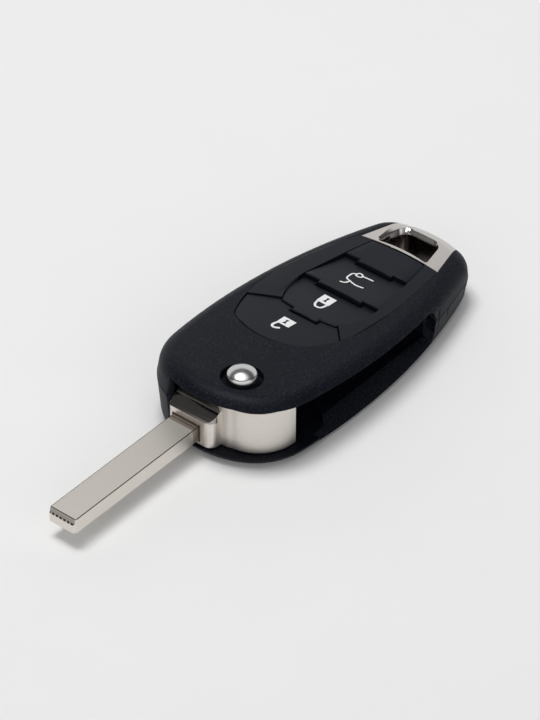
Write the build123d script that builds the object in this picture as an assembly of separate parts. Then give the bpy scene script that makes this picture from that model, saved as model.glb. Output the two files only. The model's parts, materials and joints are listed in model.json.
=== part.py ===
from build123d import *
import os
from math import atan, cos, radians, sin, sqrt

# Flip key fob shell, blade swung out. Millimetres.
# X runs from the blade to the key ring, +Z is the button side, Z = 0 is the flat back.

# Case outline in plan, tangent arcs, at the seam where the case is widest
case_front_x = -40.9
case_tail_x = 40.9
case_half_width = 19.9
case_widest_x = -8.6
nose_radius = 23.0
nose_corner_radius = 15.6
side_radius = 140.0
tail_corner_radius = 7.6
tail_radius = 24.8

# Case section
seam_height = 8.5
seam_slope = 0.055
top_height = 14.4
top_slope = 0.072
crown_radius = 222.0
upper_draft = 8.0
lower_draft = 7.0
top_edge_radius = 4.0
top_edge_share = 0.85
back_edge_radius = 3.0
wall = 1.7
floor_thickness = 1.8
inner_chamfer_share = 0.6
lip_height = 0.9
lip_thickness = 0.7
lip_clearance = 0.06

# Flip pivot and blade holder
pivot_front_gap = 10.5
pivot_side_gap = 15.5
pivot_x = case_front_x + pivot_front_gap
pivot_y = pivot_side_gap - case_half_width
band_centre_shift_x = 3.6
band_centre_shift_y = 1.4
band_end_shift = 4.0
holder_base_z = 2.6
drum_top_z = 12.95
hub_radius = 6.4
hub_bore_radius = 5.0
hub_web_thickness = 2.3
band_radius = 9.6
band_centre_x = pivot_x + band_centre_shift_x
band_centre_y = pivot_y - band_centre_shift_y
band_end_x = pivot_x + band_end_shift
band_wall = 2.4
band_floor = 2.0
block_front_inset = 1.2
block_front_x = case_front_x + block_front_inset
block_high_reach = 4.6
block_low_reach = 6.95
block_top_z = 11.3
block_arch_length = 2.9
block_arch_drop = 2.35
block_high_corner_radius = 0.5
block_low_corner_radius = 2.2
bead_radius = 0.5
bead_top_z = 11.9

# Blade
blade_offset = 7.25
blade_reach = 38.0
blade_centre_y = pivot_y + blade_offset
blade_tip_x = block_front_x - blade_reach
blade_width = 6.7
blade_thickness = 3.6
blade_base_z = 3.6
blade_tip_bevel_length = 0.45
blade_tip_bevel_depth = 1.5
blade_corner_radius = 1.0
tang_length = 5.1
tang_back_x = block_front_x + tang_length
tang_clearance = 0.05
socket_mouth_depth = 1.2
socket_mouth_side = 0.35
roll_pin_radius = 0.8
roll_pin_depth = 2.4
roll_pin_x = block_front_x + roll_pin_depth
roll_pin_height = 6.6
roll_pin_clearance = 0.01

# Openings of the case around the blade unit
swing_radius = 16.9
swing_floor_z = 2.2
mouth_drop = 2.35
mouth_left_gap = 0.15
mouth_edge_radius = 1.2
drum_clearance_radius = 12.2
drum_clearance_top = 0.25
folded_tip_x = 2 * pivot_x - blade_tip_x
folded_blade_y = 2 * pivot_y - blade_centre_y
slot_end_room = 1.4
slot_end_x = folded_tip_x + slot_end_room
slot_head_radius = 2.2
slot_sole_radius = 2.2
channel_clearance = 0.4
channel_inner_y = folded_blade_y + blade_width / 2 + channel_clearance
channel_end_room = 0.6
channel_end_x = folded_tip_x + channel_end_room
channel_floor_z = 3.0
sill_overlap = 0.4
sill_inner_y = folded_blade_y - blade_width / 2 + sill_overlap
sill_inner_z = 3.3
sill_slope = 0.62
sill_start_shift = 8.4
sill_start_x = pivot_x + sill_start_shift
partition_thickness = 1.0
partition_top_z = 7.6
partition_gap = 0.1
end_wall_drop = 4.0
thrust_ring_gap = 0.06

# Release button and flip mechanism
release_radius = 3.45
release_top_z = 18.6
release_dome_height = 0.6
release_edge_radius = 1.2
release_edge_turn = 65.0
release_recess_radius = 4.3
release_recess_depth = 1.7
release_recess_flare = 1.0
release_boss_radius = 6.2
cover_drum_gap = 0.1
release_clearance = 0.07
stem_radius = 2.4
stem_length = 2.2
cog_radius = 4.6
cog_thickness = 1.4
cog_gap = 0.08
lug_height = 1.1
lug_angle = 30.0
lug_start_angle = 60.0
lug_clearance = 0.1
lug_margin_angle = 2.0
spring_wire = 0.7
spring_mean_radius = 3.6
spring_turns = 3.5
cup_height = 3.4
cup_floor = 0.8
cup_wall = 0.55
cup_clearance = 0.06
cup_key_side = 4.0
cup_key_depth = 1.2
cup_key_clearance = 0.05

# Key ring loop
loop_front_x = 27.6
loop_front_bow = 0.7
loop_front_half_width = 10.3
loop_back_x = 35.9
loop_back_half_width = 8.1
loop_gap = 0.06
loop_bar = 0.8
loop_hole_back_x = 36.1
loop_hole_front_half_width = 6.7
loop_hole_back_half_width = 4.8
loop_hole_corner_radius = 2.2
loop_hole_front_radius = 0.5
loop_flare_depth = 1.3
loop_flare_slope_x = 0.7
loop_flare_slope_y = 0.6
tongue_front_x = 21.0
tongue_half_width = 5.5
tongue_base_z = 4.2
tongue_thickness = 2.0
tongue_hole_radius = 1.6
tongue_post_clearance = 0.05
tongue_post_shift = 0.6
tongue_pad_margin = 1.0

# Button field, measured in the plane of the sloping top
field_front_x = -16.6
field_corner_x = -13.6
field_left_corner_inset = 8.1
field_right_corner_inset = 12.6
field_left_inset = 4.2
field_right_inset = 7.4
field_end_left_inset = 9.9
field_end_right_inset = 10.0
field_left_corner_y = case_half_width - field_left_corner_inset
field_right_corner_y = field_right_corner_inset - case_half_width
field_wide_x = 2.5
field_left_y = case_half_width - field_left_inset
field_right_y = field_right_inset - case_half_width
field_end_x = 29.5
field_end_left_y = case_half_width - field_end_left_inset
field_end_right_y = field_end_right_inset - case_half_width
field_corner_radius = 2.5
field_corner_share_x = 0.9
field_corner_share_y = 0.7
field_gap = 0.08
cap_tilt_room = 0.25
unlock_gap = 0.04
column_y = 0.25
column_front_x = -3.0
column_front_half = 7.2
column_front_bow = 0.8
column_shoulder_x = 2.0
column_shoulder_half = 9.4
column_mid_half = 10.05
column_back_half = 8.4
column_end_half = 6.7
split_left_x = -8.4
split_right_x = -15.2
split_reach = 12.5
split_inset = 1.6
split_right_inset = 2.3
split_rim_x = -7.0
lock_rim_inset = 2.5
bridge_back_x = 26.8
key_gap = 0.12
step_gap = 0.35
tab_reach = 0.95
lock_tab_half = 3.4
boot_tab_half = 5.8
cap_tab_half = 4.5
boot_near_x = 8.1
cap_near_x = 20.1
key_tilt = 4.5
front_key_tilt = 2.0
key_proud = 0.1
cap_proud = 0.05
cover_thickness = 1.7
field_flange = 1.0
bezel_rim_front_x = -4.5
bezel_depth = 2.6
bezel_flange_top = 1.8
bridge_top = 2.05
key_depth = 3.2
key_flange_top = 2.7
key_flange_reach = 0.5
key_edge = 0.2
unlock_icon_x = -9.7
unlock_icon_y = 1.5
lock_icon_x = 2.5
boot_icon_x = 13.1
plunger_radius = 1.6
plunger_length = 0.4
membrane_gap = 0.55
dome_height = 0.35
dome_radius = 2.6
membrane_thickness = 0.5
membrane_inset = 1.5
tray_plate = 1.2
tray_skirt_thickness = 0.9
skirt_gap = 0.1
skirt_drop = 3.9
tray_front_x = -13.0
tray_back_x = 20.0
tray_left_inset = 3.2
tray_right_inset = 1.1
tray_left_y = field_left_y - tray_left_inset
tray_right_y = channel_inner_y + tray_right_inset
tray_corner_radius = 2.0
tray_post_radius = 1.8
tray_post_inset = 3.0

# Seam groove and the pry tab's lines
seam_groove_width = 0.24
seam_groove_depth = 0.3
pry_line_width = 0.35
pry_line_depth = 0.4
pry_front_x = 19.8
pry_front_height = 4.6
pry_back_x = 24.3
pry_back_height = 2.4

reach = 200.0
far = 60.0
seam_angle = atan(seam_slope)
top_angle = atan(top_slope)
nose_centre = Vector(case_front_x + nose_radius, 0)
tail_centre = Vector(case_tail_x - tail_radius, 0)
side_centre = Vector(case_widest_x, case_half_width - side_radius)


def tilted_plane(height, angle):
    """Plane through (0, 0, height) that falls towards the key ring by the angle."""
    along = (cos(angle), 0, -sin(angle))
    normal = (sin(angle), 0, cos(angle))
    return Plane(origin=(0, 0, height), x_dir=along, z_dir=normal)


seam_plane = tilted_plane(seam_height, seam_angle)
top_plane = tilted_plane(top_height, top_angle)


def inner_tangent_centre(centre_a, distance_a, centre_b, distance_b, side):
    """Point at the two given distances from two centres, on the chosen side of their line."""
    line = centre_b - centre_a
    span = line.length
    along = (distance_a**2 - distance_b**2 + span**2) / (2 * span)
    across = side * sqrt(distance_a**2 - along**2)
    step = line.normalized()
    return centre_a + step * along + Vector(-step.Y, step.X) * across


nose_corner_centre = inner_tangent_centre(
    side_centre, side_radius - nose_corner_radius, nose_centre, nose_radius - nose_corner_radius, 1
)
tail_corner_centre = inner_tangent_centre(
    side_centre, side_radius - tail_corner_radius, tail_centre, tail_radius - tail_corner_radius, -1
)


def arc(centre, start, end):
    """Arc about a centre from start to end, the short way round."""
    middle = centre + ((start + end) * 0.5 - centre).normalized() * (start - centre).length
    return ThreePointArc(start, middle, end)


def case_outline(inset=0.0):
    """Plan outline of the case, moved inwards by the inset."""
    def on_circle(centre, radius, towards):
        return centre + (towards - centre).normalized() * (radius - inset)

    def flip(point):
        return Vector(point.X, -point.Y)

    nose = on_circle(nose_centre, nose_radius, nose_corner_centre)
    front = on_circle(side_centre, side_radius, nose_corner_centre)
    rear = on_circle(side_centre, side_radius, tail_corner_centre)
    tail = on_circle(tail_centre, tail_radius, tail_corner_centre)
    edges = [
        ThreePointArc(nose, (case_front_x + inset, 0), flip(nose)),
        arc(flip(nose_corner_centre), flip(nose), flip(front)),
        arc(flip(side_centre), flip(front), flip(rear)),
        arc(flip(tail_corner_centre), flip(rear), flip(tail)),
        ThreePointArc(flip(tail), (case_tail_x - inset, 0), tail),
        arc(tail_corner_centre, tail, rear),
        arc(side_centre, rear, front),
        arc(nose_corner_centre, front, nose),
    ]
    return make_face(edges)


def under_crown(drop=0.0, tilt=0.0, hinge_x=0.0):
    """Everything under the crowned top surface, lowered by the drop and tilted about a cross line."""
    roll = Cylinder(crown_radius, reach, rotation=(0, 90, 0))
    surface = Pos(hinge_x, 0, 0) * Rot(0, tilt, 0) * Pos(0, 0, -drop - crown_radius) * roll
    return top_plane * surface


def above(height):
    """Half space above a level, as a large box."""
    return Pos(0, 0, height + reach / 2) * Box(reach, reach, reach)


tail_wall_height = top_height - seam_height - (top_slope - seam_slope) * case_tail_x
top_ease = min(top_edge_radius, top_edge_share * tail_wall_height)


def case_body(inset, drop, base_z, ease=fillet, share=1.0):
    """Solid of the case outline, drafted both ways from the seam, its edges rounded or cut."""
    outline = seam_plane * case_outline(inset)
    upper = extrude(outline, amount=top_height, dir=seam_plane.z_dir, taper=upper_draft)
    lower = extrude(outline, amount=1.6 * seam_height, dir=-seam_plane.z_dir, taper=lower_draft)
    body = (upper + lower) & under_crown(drop)
    body = body & above(base_z)
    top_face = body.faces().sort_by(Axis.Z)[-1]
    body = ease(top_face.edges(), share * (top_ease - inset))
    back_face = body.faces().sort_by(Axis.Z)[0]
    return ease(back_face.edges(), share * (back_edge_radius - inset))


envelope = case_body(0, 0, 0)
cavity = case_body(wall, wall, floor_thickness, chamfer, inner_chamfer_share)
below_seam = seam_plane * (Pos(0, 0, -reach / 2) * Box(reach, reach, reach))


def prism(outline, base_z, height):
    """Upright prism of a flat outline."""
    return Pos(0, 0, base_z) * extrude(outline, amount=height, dir=(0, 0, 1))


def field_prism(outline, top_w, bottom_w):
    """Prism of an outline drawn in the plane of the top, between two depths."""
    return top_plane * (Pos(0, 0, bottom_w) * extrude(outline, amount=top_w - bottom_w, dir=(0, 0, 1)))


def disc(x, y, radius, base_z, height):
    """Upright cylinder on a plan centre."""
    return Pos(x, y, base_z + height / 2) * Cylinder(radius, height)


def block(x_low, x_high, y_low, y_high, z_low, z_high):
    """Box between two corners."""
    centre = Pos((x_low + x_high) / 2, (y_low + y_high) / 2, (z_low + z_high) / 2)
    return centre * Box(x_high - x_low, y_high - y_low, z_high - z_low)


def rectangle(x_low, x_high, y_low, y_high):
    """Flat rectangle between two corners."""
    return Pos((x_low + x_high) / 2, (y_low + y_high) / 2) * Rectangle(x_high - x_low, y_high - y_low)


def below_plane(drop):
    """Half space under the plane of the top, at a depth."""
    return top_plane * (Pos(0, 0, -drop - reach / 2) * Box(reach, reach, reach))


def one_solid(shape):
    """The largest solid of a shape."""
    return shape.solids().sort_by(SortBy.VOLUME)[-1]


def loop_outline(gap=0.0):
    """Plan of the key ring loop, widened by the gap."""
    front_x = loop_front_x - gap
    slope = (loop_back_half_width - loop_front_half_width) / (loop_back_x - loop_front_x)
    front_half = loop_front_half_width + gap
    tail_half = front_half + slope * (far - front_x)
    front = ThreePointArc((front_x, front_half), (front_x + loop_front_bow, 0), (front_x, -front_half))
    sides = Polyline((front_x, -front_half), (far, -tail_half), (far, tail_half), (front_x, front_half))
    return make_face([front, sides])


def loop_hole():
    """Plan of the opening for the key ring."""
    front_x = loop_front_x + loop_bar
    front = ThreePointArc(
        (front_x, loop_hole_front_half_width),
        (front_x + loop_front_bow, 0),
        (front_x, -loop_hole_front_half_width),
    )
    sides = Polyline(
        (front_x, -loop_hole_front_half_width),
        (loop_hole_back_x, -loop_hole_back_half_width),
        (loop_hole_back_x, loop_hole_back_half_width),
        (front_x, loop_hole_front_half_width),
    )
    face = make_face([front, sides])
    back_corners = face.vertices().sort_by(Axis.X)[-2:]
    face = fillet(back_corners, loop_hole_corner_radius)
    front_corners = face.vertices().sort_by(Axis.X)[:2]
    return fillet(front_corners, loop_hole_front_radius)


def field_outline(grow=0.0):
    """Outline of the button field in the plane of the top, grown outwards."""
    corner_x = field_corner_x - grow * field_corner_share_x
    corner_left_y = field_left_corner_y + grow * field_corner_share_y
    corner_right_y = field_right_corner_y - grow * field_corner_share_y
    front_left = (corner_x, corner_left_y)
    front_right = (corner_x, corner_right_y)
    front_middle = (field_front_x - grow, (corner_left_y + corner_right_y) / 2)
    wide_left = (field_wide_x, field_left_y + grow)
    wide_right = (field_wide_x, field_right_y - grow)
    end_left = (field_end_x, field_end_left_y + grow)
    end_right = (field_end_x, field_end_right_y - grow)
    edges = [
        ThreePointArc(front_left, front_middle, front_right),
        TangentArc(wide_right, front_right, tangent=(-1, 0)),
        TangentArc(wide_right, end_right, tangent=(1, 0)),
        Line(end_right, end_left),
        TangentArc(wide_left, end_left, tangent=(1, 0)),
        TangentArc(wide_left, front_left, tangent=(-1, 0)),
    ]
    face = make_face(edges)
    corners = face.vertices().sort_by(Axis.X)[:2]
    return fillet(corners, field_corner_radius)


def column_outline():
    """Outline of the column of keys behind the front key."""
    def side(sign):
        shoulder = ThreePointArc(
            (column_front_x, column_y + sign * column_front_half),
            (column_shoulder_x, column_y + sign * column_shoulder_half),
            (boot_near_x, column_y + sign * column_mid_half),
        )
        tail = Polyline(
            (boot_near_x, column_y + sign * column_mid_half),
            (cap_near_x, column_y + sign * column_back_half),
            (field_end_x, column_y + sign * column_end_half),
        )
        return [shoulder, tail]

    front = ThreePointArc(
        (column_front_x, column_y + column_front_half),
        (column_front_x - column_front_bow, column_y),
        (column_front_x, column_y - column_front_half),
    )
    end = Line(
        (field_end_x, column_y + column_end_half),
        (field_end_x, column_y - column_end_half),
    )
    return make_face([front, end] + side(1) + side(-1))


def tab(front_x, half_width, grow=0.0):
    """Tab of a key, reaching over the key before it, or its room when grown."""
    half = half_width + grow
    return rectangle(front_x - tab_reach - grow, front_x + tab_reach, column_y - half, column_y + half)


def key_body(face, bottom_w, proud, tilt):
    """Key body whose top falls away from its front edge by the tilt."""
    front_x = face.bounding_box().min.X
    body = one_solid(field_prism(face, top_edge_radius, -bottom_w) & under_crown(-proud, tilt, front_x))
    top_face = body.faces().sort_by(Axis.Z)[-1]
    return chamfer(top_face.edges(), key_edge)


field = field_outline()
loop_room = prism(loop_outline(loop_gap), -1, far)
column = column_outline()
field_zone = field - loop_outline(loop_gap)
cap_face = (column & rectangle(cap_near_x, far, -far, far)) + tab(cap_near_x, cap_tab_half)
cap_face = cap_face - loop_outline(loop_gap + cap_tilt_room)
boot_face = (column & rectangle(boot_near_x, cap_near_x, -far, far)) + tab(boot_near_x, boot_tab_half)
boot_face = boot_face - offset(cap_face, key_gap, kind=Kind.INTERSECTION)
boot_face = boot_face - tab(cap_near_x, cap_tab_half, step_gap)
lock_face = column & rectangle(-far, boot_near_x, -far, far)
lock_face = lock_face + tab(column_front_x - column_front_bow, lock_tab_half)
lock_face = lock_face - offset(boot_face, key_gap, kind=Kind.INTERSECTION)
lock_face = lock_face - tab(boot_near_x, boot_tab_half, step_gap)
front_zone = make_face(
    Polyline(
        (-far, far),
        (split_left_x, column_y + column_front_half + split_reach),
        (column_front_x + split_inset, column_y + column_front_half - split_inset),
        (column_front_x + split_right_inset, column_y - column_front_half + split_inset),
        (split_right_x, column_y - column_front_half - split_reach),
        (-far, -far),
        close=True,
    )
)
unlock_face = field_outline(-unlock_gap) & front_zone
unlock_face = unlock_face - offset(lock_face, key_gap, kind=Kind.INTERSECTION)
unlock_face = unlock_face - tab(column_front_x - column_front_bow, lock_tab_half, step_gap)
wing_face = field_zone - offset(column, key_gap, kind=Kind.INTERSECTION)
wing_face = wing_face - offset(front_zone, key_gap, kind=Kind.INTERSECTION)


def flange(outline, zone):
    """Rim under the edge of a key that keeps it in the case."""
    return field_prism(outline & zone, -key_flange_top, -key_depth)


def plunger(x, y):
    """Foot of a key over its dome switch."""
    foot = Pos(x, y, -key_depth - plunger_length / 2) * Cylinder(plunger_radius, plunger_length)
    return top_plane * foot


def key(face, tilt, outline, zone, icon_x, icon_y):
    """Whole key: body, rim and foot."""
    return key_body(face, key_depth, key_proud, tilt) + flange(outline, zone) + plunger(icon_x, icon_y)


# Keys
rim_inset = key_flange_reach + step_gap
front_rim_zone = rectangle(-far, split_rim_x, -far, far)
column_rim = offset(column, key_flange_reach)
unlock_rim = field_outline(key_flange_reach)
unlock_button = key(unlock_face, front_key_tilt, unlock_rim, front_rim_zone, unlock_icon_x, unlock_icon_y)
lock_box = lock_face.bounding_box()
lock_rim_zone = rectangle(column_front_x + lock_rim_inset, lock_box.max.X - rim_inset, -far, far)
lock_button = key(lock_face, key_tilt, column_rim, lock_rim_zone, lock_icon_x, column_y)
boot_box = boot_face.bounding_box()
boot_rim_zone = rectangle(boot_box.min.X + tab_reach + rim_inset, boot_box.max.X - rim_inset, -far, far)
boot_button = key(boot_face, key_tilt, column_rim, boot_rim_zone, boot_icon_x, column_y)
blank_cap = key_body(cap_face, bridge_top, cap_proud, 0)

# Bezel: two wings, a rim under the cover and a bridge under the blank cap
left_wing_face = wing_face & rectangle(-far, far, column_y, far)
right_wing_face = wing_face & rectangle(-far, far, -far, column_y)
left_wing = field_prism(left_wing_face, top_edge_radius, -bezel_depth) & envelope
right_wing = field_prism(right_wing_face, top_edge_radius, -bezel_depth) & envelope
rim_zone = rectangle(bezel_rim_front_x, bridge_back_x, -far, far)
rim_face = (field_outline(field_flange) - field_outline(-field_flange)) & rim_zone
bezel_rim = field_prism(rim_face, -bezel_flange_top, -bezel_depth)
bridge_face = rectangle(cap_near_x + rim_inset, bridge_back_x, field_end_right_y, field_end_left_y)
bridge = field_prism(bridge_face, -bridge_top, -bezel_depth)
button_bezel = one_solid(left_wing + right_wing + bezel_rim + bridge) - loop_room

# Membrane and tray under the keys
membrane_top = key_depth + plunger_length + membrane_gap + dome_height
tray_top = membrane_top + membrane_thickness
tray_bottom = tray_top + tray_plate
tray_face = rectangle(tray_front_x, tray_back_x, tray_right_y, tray_left_y)
tray_face = fillet(tray_face.vertices(), tray_corner_radius)
membrane_face = offset(tray_face, -membrane_inset)
keypad_membrane = field_prism(membrane_face, -membrane_top, -tray_top)
for dome_x, dome_y in ((unlock_icon_x, unlock_icon_y), (lock_icon_x, column_y), (boot_icon_x, column_y)):
    dome = Pos(dome_x, dome_y, -membrane_top) * Cone(dome_radius, plunger_radius, 2 * dome_height)
    keypad_membrane += top_plane * dome
keypad_membrane = one_solid(keypad_membrane)

board_tray = field_prism(tray_face, -tray_top, -tray_bottom)
skirt = block(tray_front_x + tray_corner_radius, tray_back_x, channel_inner_y + skirt_gap,
              channel_inner_y + skirt_gap + tray_skirt_thickness, partition_top_z, reach)
skirt_joint = block(tray_front_x + tray_corner_radius, tray_back_x, channel_inner_y + skirt_gap,
                    tray_right_y + tray_plate, partition_top_z, reach)
skirt = (skirt & below_plane(skirt_drop)) + (skirt_joint & below_plane(tray_top) - below_plane(tray_bottom))
board_tray = one_solid(board_tray + skirt)

# Blade holder
block_low_y = blade_centre_y - block_low_reach
block_high_y = blade_centre_y + block_high_reach
block_front_z = block_top_z - block_arch_drop
arch_back_x = block_front_x + block_arch_length
arch_middle_x = block_front_x + block_arch_length * (1 - cos(radians(45)))
arch_middle_z = block_front_z + block_arch_drop * sin(radians(45))
block_side = make_face([
    Polyline(
        (arch_back_x, block_top_z),
        (pivot_x, block_top_z),
        (pivot_x, holder_base_z),
        (block_front_x, holder_base_z),
        (block_front_x, block_front_z),
    ),
    ThreePointArc(
        (block_front_x, block_front_z),
        (arch_middle_x, arch_middle_z),
        (arch_back_x, block_top_z),
    ),
])
side_plane = Plane(origin=(0, block_high_y, 0), x_dir=(1, 0, 0), z_dir=(0, -1, 0))
block_plan = rectangle(block_front_x, pivot_x, block_low_y, block_high_y)
block_corners = block_plan.vertices().group_by(Axis.X)[0].sort_by(Axis.Y)
block_plan = fillet(block_corners[0], block_low_corner_radius)
high_corner = block_plan.vertices().sort_by_distance((block_front_x, block_high_y))[0]
block_plan = fillet(high_corner, block_high_corner_radius)
blade_block = extrude(side_plane * block_side, amount=block_low_reach + block_high_reach, dir=(0, -1, 0))
blade_block = blade_block & prism(block_plan, 0, far)
drum_height = drum_top_z - holder_base_z
hub = disc(pivot_x, pivot_y, hub_radius, holder_base_z, drum_height)
drum_zone = block(-far, band_end_x, -far, pivot_y, 0, far)
band = disc(band_centre_x, band_centre_y, band_radius, holder_base_z, drum_height) & drum_zone
pocket = disc(band_centre_x, band_centre_y, band_radius - band_wall, holder_base_z + band_floor, far)
pocket = (pocket & block(-far, far, -far, pivot_y, 0, far)) - disc(pivot_x, pivot_y, hub_radius, 0, far)
band_edge_x = band_centre_x - sqrt(band_radius**2 - (pivot_y - band_centre_y) ** 2)
bead = disc(band_edge_x + bead_radius / 4, block_low_y - bead_radius, bead_radius, holder_base_z,
            bead_top_z - holder_base_z)
holder = blade_block + (band - pocket) + bead + hub
socket_low_y = blade_centre_y - blade_width / 2 - tang_clearance
socket_high_y = blade_centre_y + blade_width / 2 + tang_clearance
socket_low_z = blade_base_z - tang_clearance
socket_high_z = blade_base_z + blade_thickness + tang_clearance
socket = block(-far, tang_back_x, socket_low_y, socket_high_y, socket_low_z, socket_high_z)
socket_mouth = block(
    -far,
    block_front_x + socket_mouth_depth,
    socket_low_y - socket_mouth_side,
    socket_high_y + socket_mouth_side,
    socket_low_z - socket_mouth_side,
    socket_high_z + socket_mouth_side,
)
web_z = drum_top_z - hub_web_thickness
hub_bore = disc(pivot_x, pivot_y, hub_bore_radius, 0, web_z)
web_bore = disc(pivot_x, pivot_y, release_radius + release_clearance, 0, far)


def sector(inner_radius, outer_radius, start_angle, sweep_angle, base_z, height):
    """Ring sector about the pivot."""
    def at(radius, angle):
        return (pivot_x + radius * cos(radians(angle)), pivot_y + radius * sin(radians(angle)))

    middle = start_angle + sweep_angle / 2
    end = start_angle + sweep_angle
    face = make_face([
        ThreePointArc(at(outer_radius, start_angle), at(outer_radius, middle), at(outer_radius, end)),
        Line(at(outer_radius, end), at(inner_radius, end)),
        ThreePointArc(at(inner_radius, end), at(inner_radius, middle), at(inner_radius, start_angle)),
        Line(at(inner_radius, start_angle), at(outer_radius, start_angle)),
    ])
    return prism(face, base_z, height)


lug_track = sector(
    release_radius - lug_clearance,
    cog_radius + lug_clearance,
    lug_start_angle - 180 - lug_margin_angle,
    lug_angle + 180 + 2 * lug_margin_angle,
    web_z - lug_clearance,
    lug_height + 2 * lug_clearance,
)
pin_hole = disc(roll_pin_x, blade_centre_y, roll_pin_radius + roll_pin_clearance, 0,
                holder_base_z + roll_pin_height + roll_pin_clearance)
blade_holder = one_solid(holder - socket - socket_mouth - hub_bore - web_bore - lug_track - pin_hole)

# Blade and its pin
blade = block(
    blade_tip_x,
    tang_back_x - tang_clearance,
    blade_centre_y - blade_width / 2,
    blade_centre_y + blade_width / 2,
    blade_base_z,
    blade_base_z + blade_thickness,
)
tip_edge = blade.edges().filter_by(Axis.Y).group_by(Axis.X)[0].sort_by(Axis.Z)[-1]
tip_face = blade.faces().sort_by(Axis.X)[0]
blade = chamfer(tip_edge, blade_tip_bevel_depth, blade_tip_bevel_length, reference=tip_face)
tip_corner = blade.edges().filter_by(Axis.Z).group_by(Axis.X)[0].sort_by(Axis.Y)[0]
blade = fillet(tip_corner, blade_corner_radius)
key_blade = blade - disc(roll_pin_x, blade_centre_y, roll_pin_radius + roll_pin_clearance, 0, far)
blade_roll_pin = disc(roll_pin_x, blade_centre_y, roll_pin_radius, holder_base_z, roll_pin_height)
blade_roll_pin = chamfer(blade_roll_pin.edges(), roll_pin_radius / 4)

# Release button, its lock cog, spring and cup
cog_top_z = web_z - cog_gap
cog_base_z = cog_top_z - cog_thickness
edge_x = release_radius - release_edge_radius * (1 - cos(radians(release_edge_turn)))
edge_top_z = release_top_z - release_dome_height
edge_base_z = edge_top_z - release_edge_radius * sin(radians(release_edge_turn))
button_profile = make_face([
    Polyline(
        (0, release_top_z),
        (0, cog_base_z - stem_length),
        (stem_radius, cog_base_z - stem_length),
        (stem_radius, cog_top_z),
        (release_radius, cog_top_z),
        (release_radius, edge_base_z),
    ),
    TangentArc((release_radius, edge_base_z), (edge_x, edge_top_z), tangent=(0, 1)),
    TangentArc((0, release_top_z), (edge_x, edge_top_z), tangent=(1, 0)),
])
release_button = Pos(pivot_x, pivot_y, 0) * revolve(Plane.XZ * button_profile, Axis.Z)
cog = disc(pivot_x, pivot_y, cog_radius, cog_base_z, cog_thickness)
lug_inner_radius = release_radius + cog_gap
lug_length = cog_thickness + lug_height
lug = sector(lug_inner_radius, cog_radius, lug_start_angle, lug_angle, cog_base_z, lug_length)
lock_cog = one_solid(cog + lug - disc(pivot_x, pivot_y, stem_radius, 0, far))

cup_outer_radius = hub_bore_radius - cup_clearance
cup = disc(pivot_x, pivot_y, cup_outer_radius, swing_floor_z, cup_height)
cup = cup - disc(pivot_x, pivot_y, cup_outer_radius - cup_wall, swing_floor_z + cup_floor, far)
cup_key_centre = Pos(pivot_x, pivot_y, swing_floor_z - cup_key_depth / 2)
cup_key = cup_key_centre * Box(cup_key_side, cup_key_side, cup_key_depth)
spring_cup = one_solid(cup + cup_key)

spring_base_z = swing_floor_z + cup_floor
spring_height = cog_base_z - spring_base_z - spring_wire
coil = Helix(spring_height / spring_turns, spring_height, spring_mean_radius)
wire_plane = Plane(origin=coil @ 0, z_dir=coil % 0)
coil_wire = sweep(wire_plane * Rectangle(spring_wire, spring_wire), path=coil, is_frenet=True)
flip_spring = Pos(pivot_x, pivot_y, spring_base_z + spring_wire / 2) * coil_wire

# Loop with its tongue
ring_body = prism(loop_outline(), 0, far) & envelope
ring_flare_plane = top_plane * Pos(0, 0, -loop_flare_depth)
ring_flare_way = (loop_flare_slope_x, loop_flare_slope_y, 1)
ring_flare = extrude(ring_flare_plane * loop_hole(), amount=2 * loop_flare_depth, dir=ring_flare_way)
ring_body = ring_body - prism(loop_hole(), -1, far) - ring_flare
tongue = block(
    tongue_front_x,
    loop_front_x + loop_bar,
    -tongue_half_width,
    tongue_half_width,
    tongue_base_z,
    tongue_base_z + tongue_thickness,
)
post_x = (tongue_front_x + loop_front_x) / 2 - tongue_post_shift
key_ring_loop = one_solid(ring_body + tongue - disc(post_x, 0, tongue_hole_radius, 0, far))


# Openings shared by both covers
def ceiling_z(x):
    """Height of the upper edge of the blade slot."""
    return top_height - mouth_drop - top_slope * x


def slot_side(low_z, high_start_z, high_end_z, corner_z, corner_radius):
    """Cut of the blade slot seen from its side, with one corner at its tail end rounded."""
    plane = Plane(origin=(0, sill_inner_y, 0), x_dir=(1, 0, 0), z_dir=(0, -1, 0))
    face = make_face(
        Polyline(
            (sill_start_x, low_z),
            (slot_end_x, low_z),
            (slot_end_x, high_end_z),
            (sill_start_x, high_start_z),
            close=True,
        )
    )
    corner = face.vertices().sort_by_distance((slot_end_x, corner_z))[0]
    return plane * fillet(corner, corner_radius)


slot_end_ceiling = ceiling_z(slot_end_x)
slot_start_ceiling = ceiling_z(sill_start_x)
slot_head_face = slot_side(0, slot_start_ceiling, slot_end_ceiling, slot_end_ceiling, slot_head_radius)
slot_head = extrude(slot_head_face, amount=far, dir=(0, -1, 0))
slot_sole_face = slot_side(sill_inner_z, far, far, sill_inner_z, slot_sole_radius)
slot_sole = extrude(slot_sole_face, amount=far, dir=(0, -1, -sill_slope))
slot = slot_head & slot_sole
mouth_high_y = block_high_y + mouth_left_gap
swing = disc(pivot_x, pivot_y, swing_radius, swing_floor_z, far)
swing = swing & block(-far, far, -far, mouth_high_y, 0, far) & below_plane(mouth_drop)
mouth_edge_y = mouth_high_y + mouth_edge_radius
mouth_edge_x = nose_centre.X - sqrt(nose_radius**2 - mouth_edge_y**2) + mouth_edge_radius
mouth_edge = block(-far, mouth_edge_x, mouth_high_y, mouth_edge_y, swing_floor_z, far)
mouth_edge = mouth_edge - disc(mouth_edge_x, mouth_edge_y, mouth_edge_radius, 0, far)
mouth_edge = mouth_edge & below_plane(mouth_drop)
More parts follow.
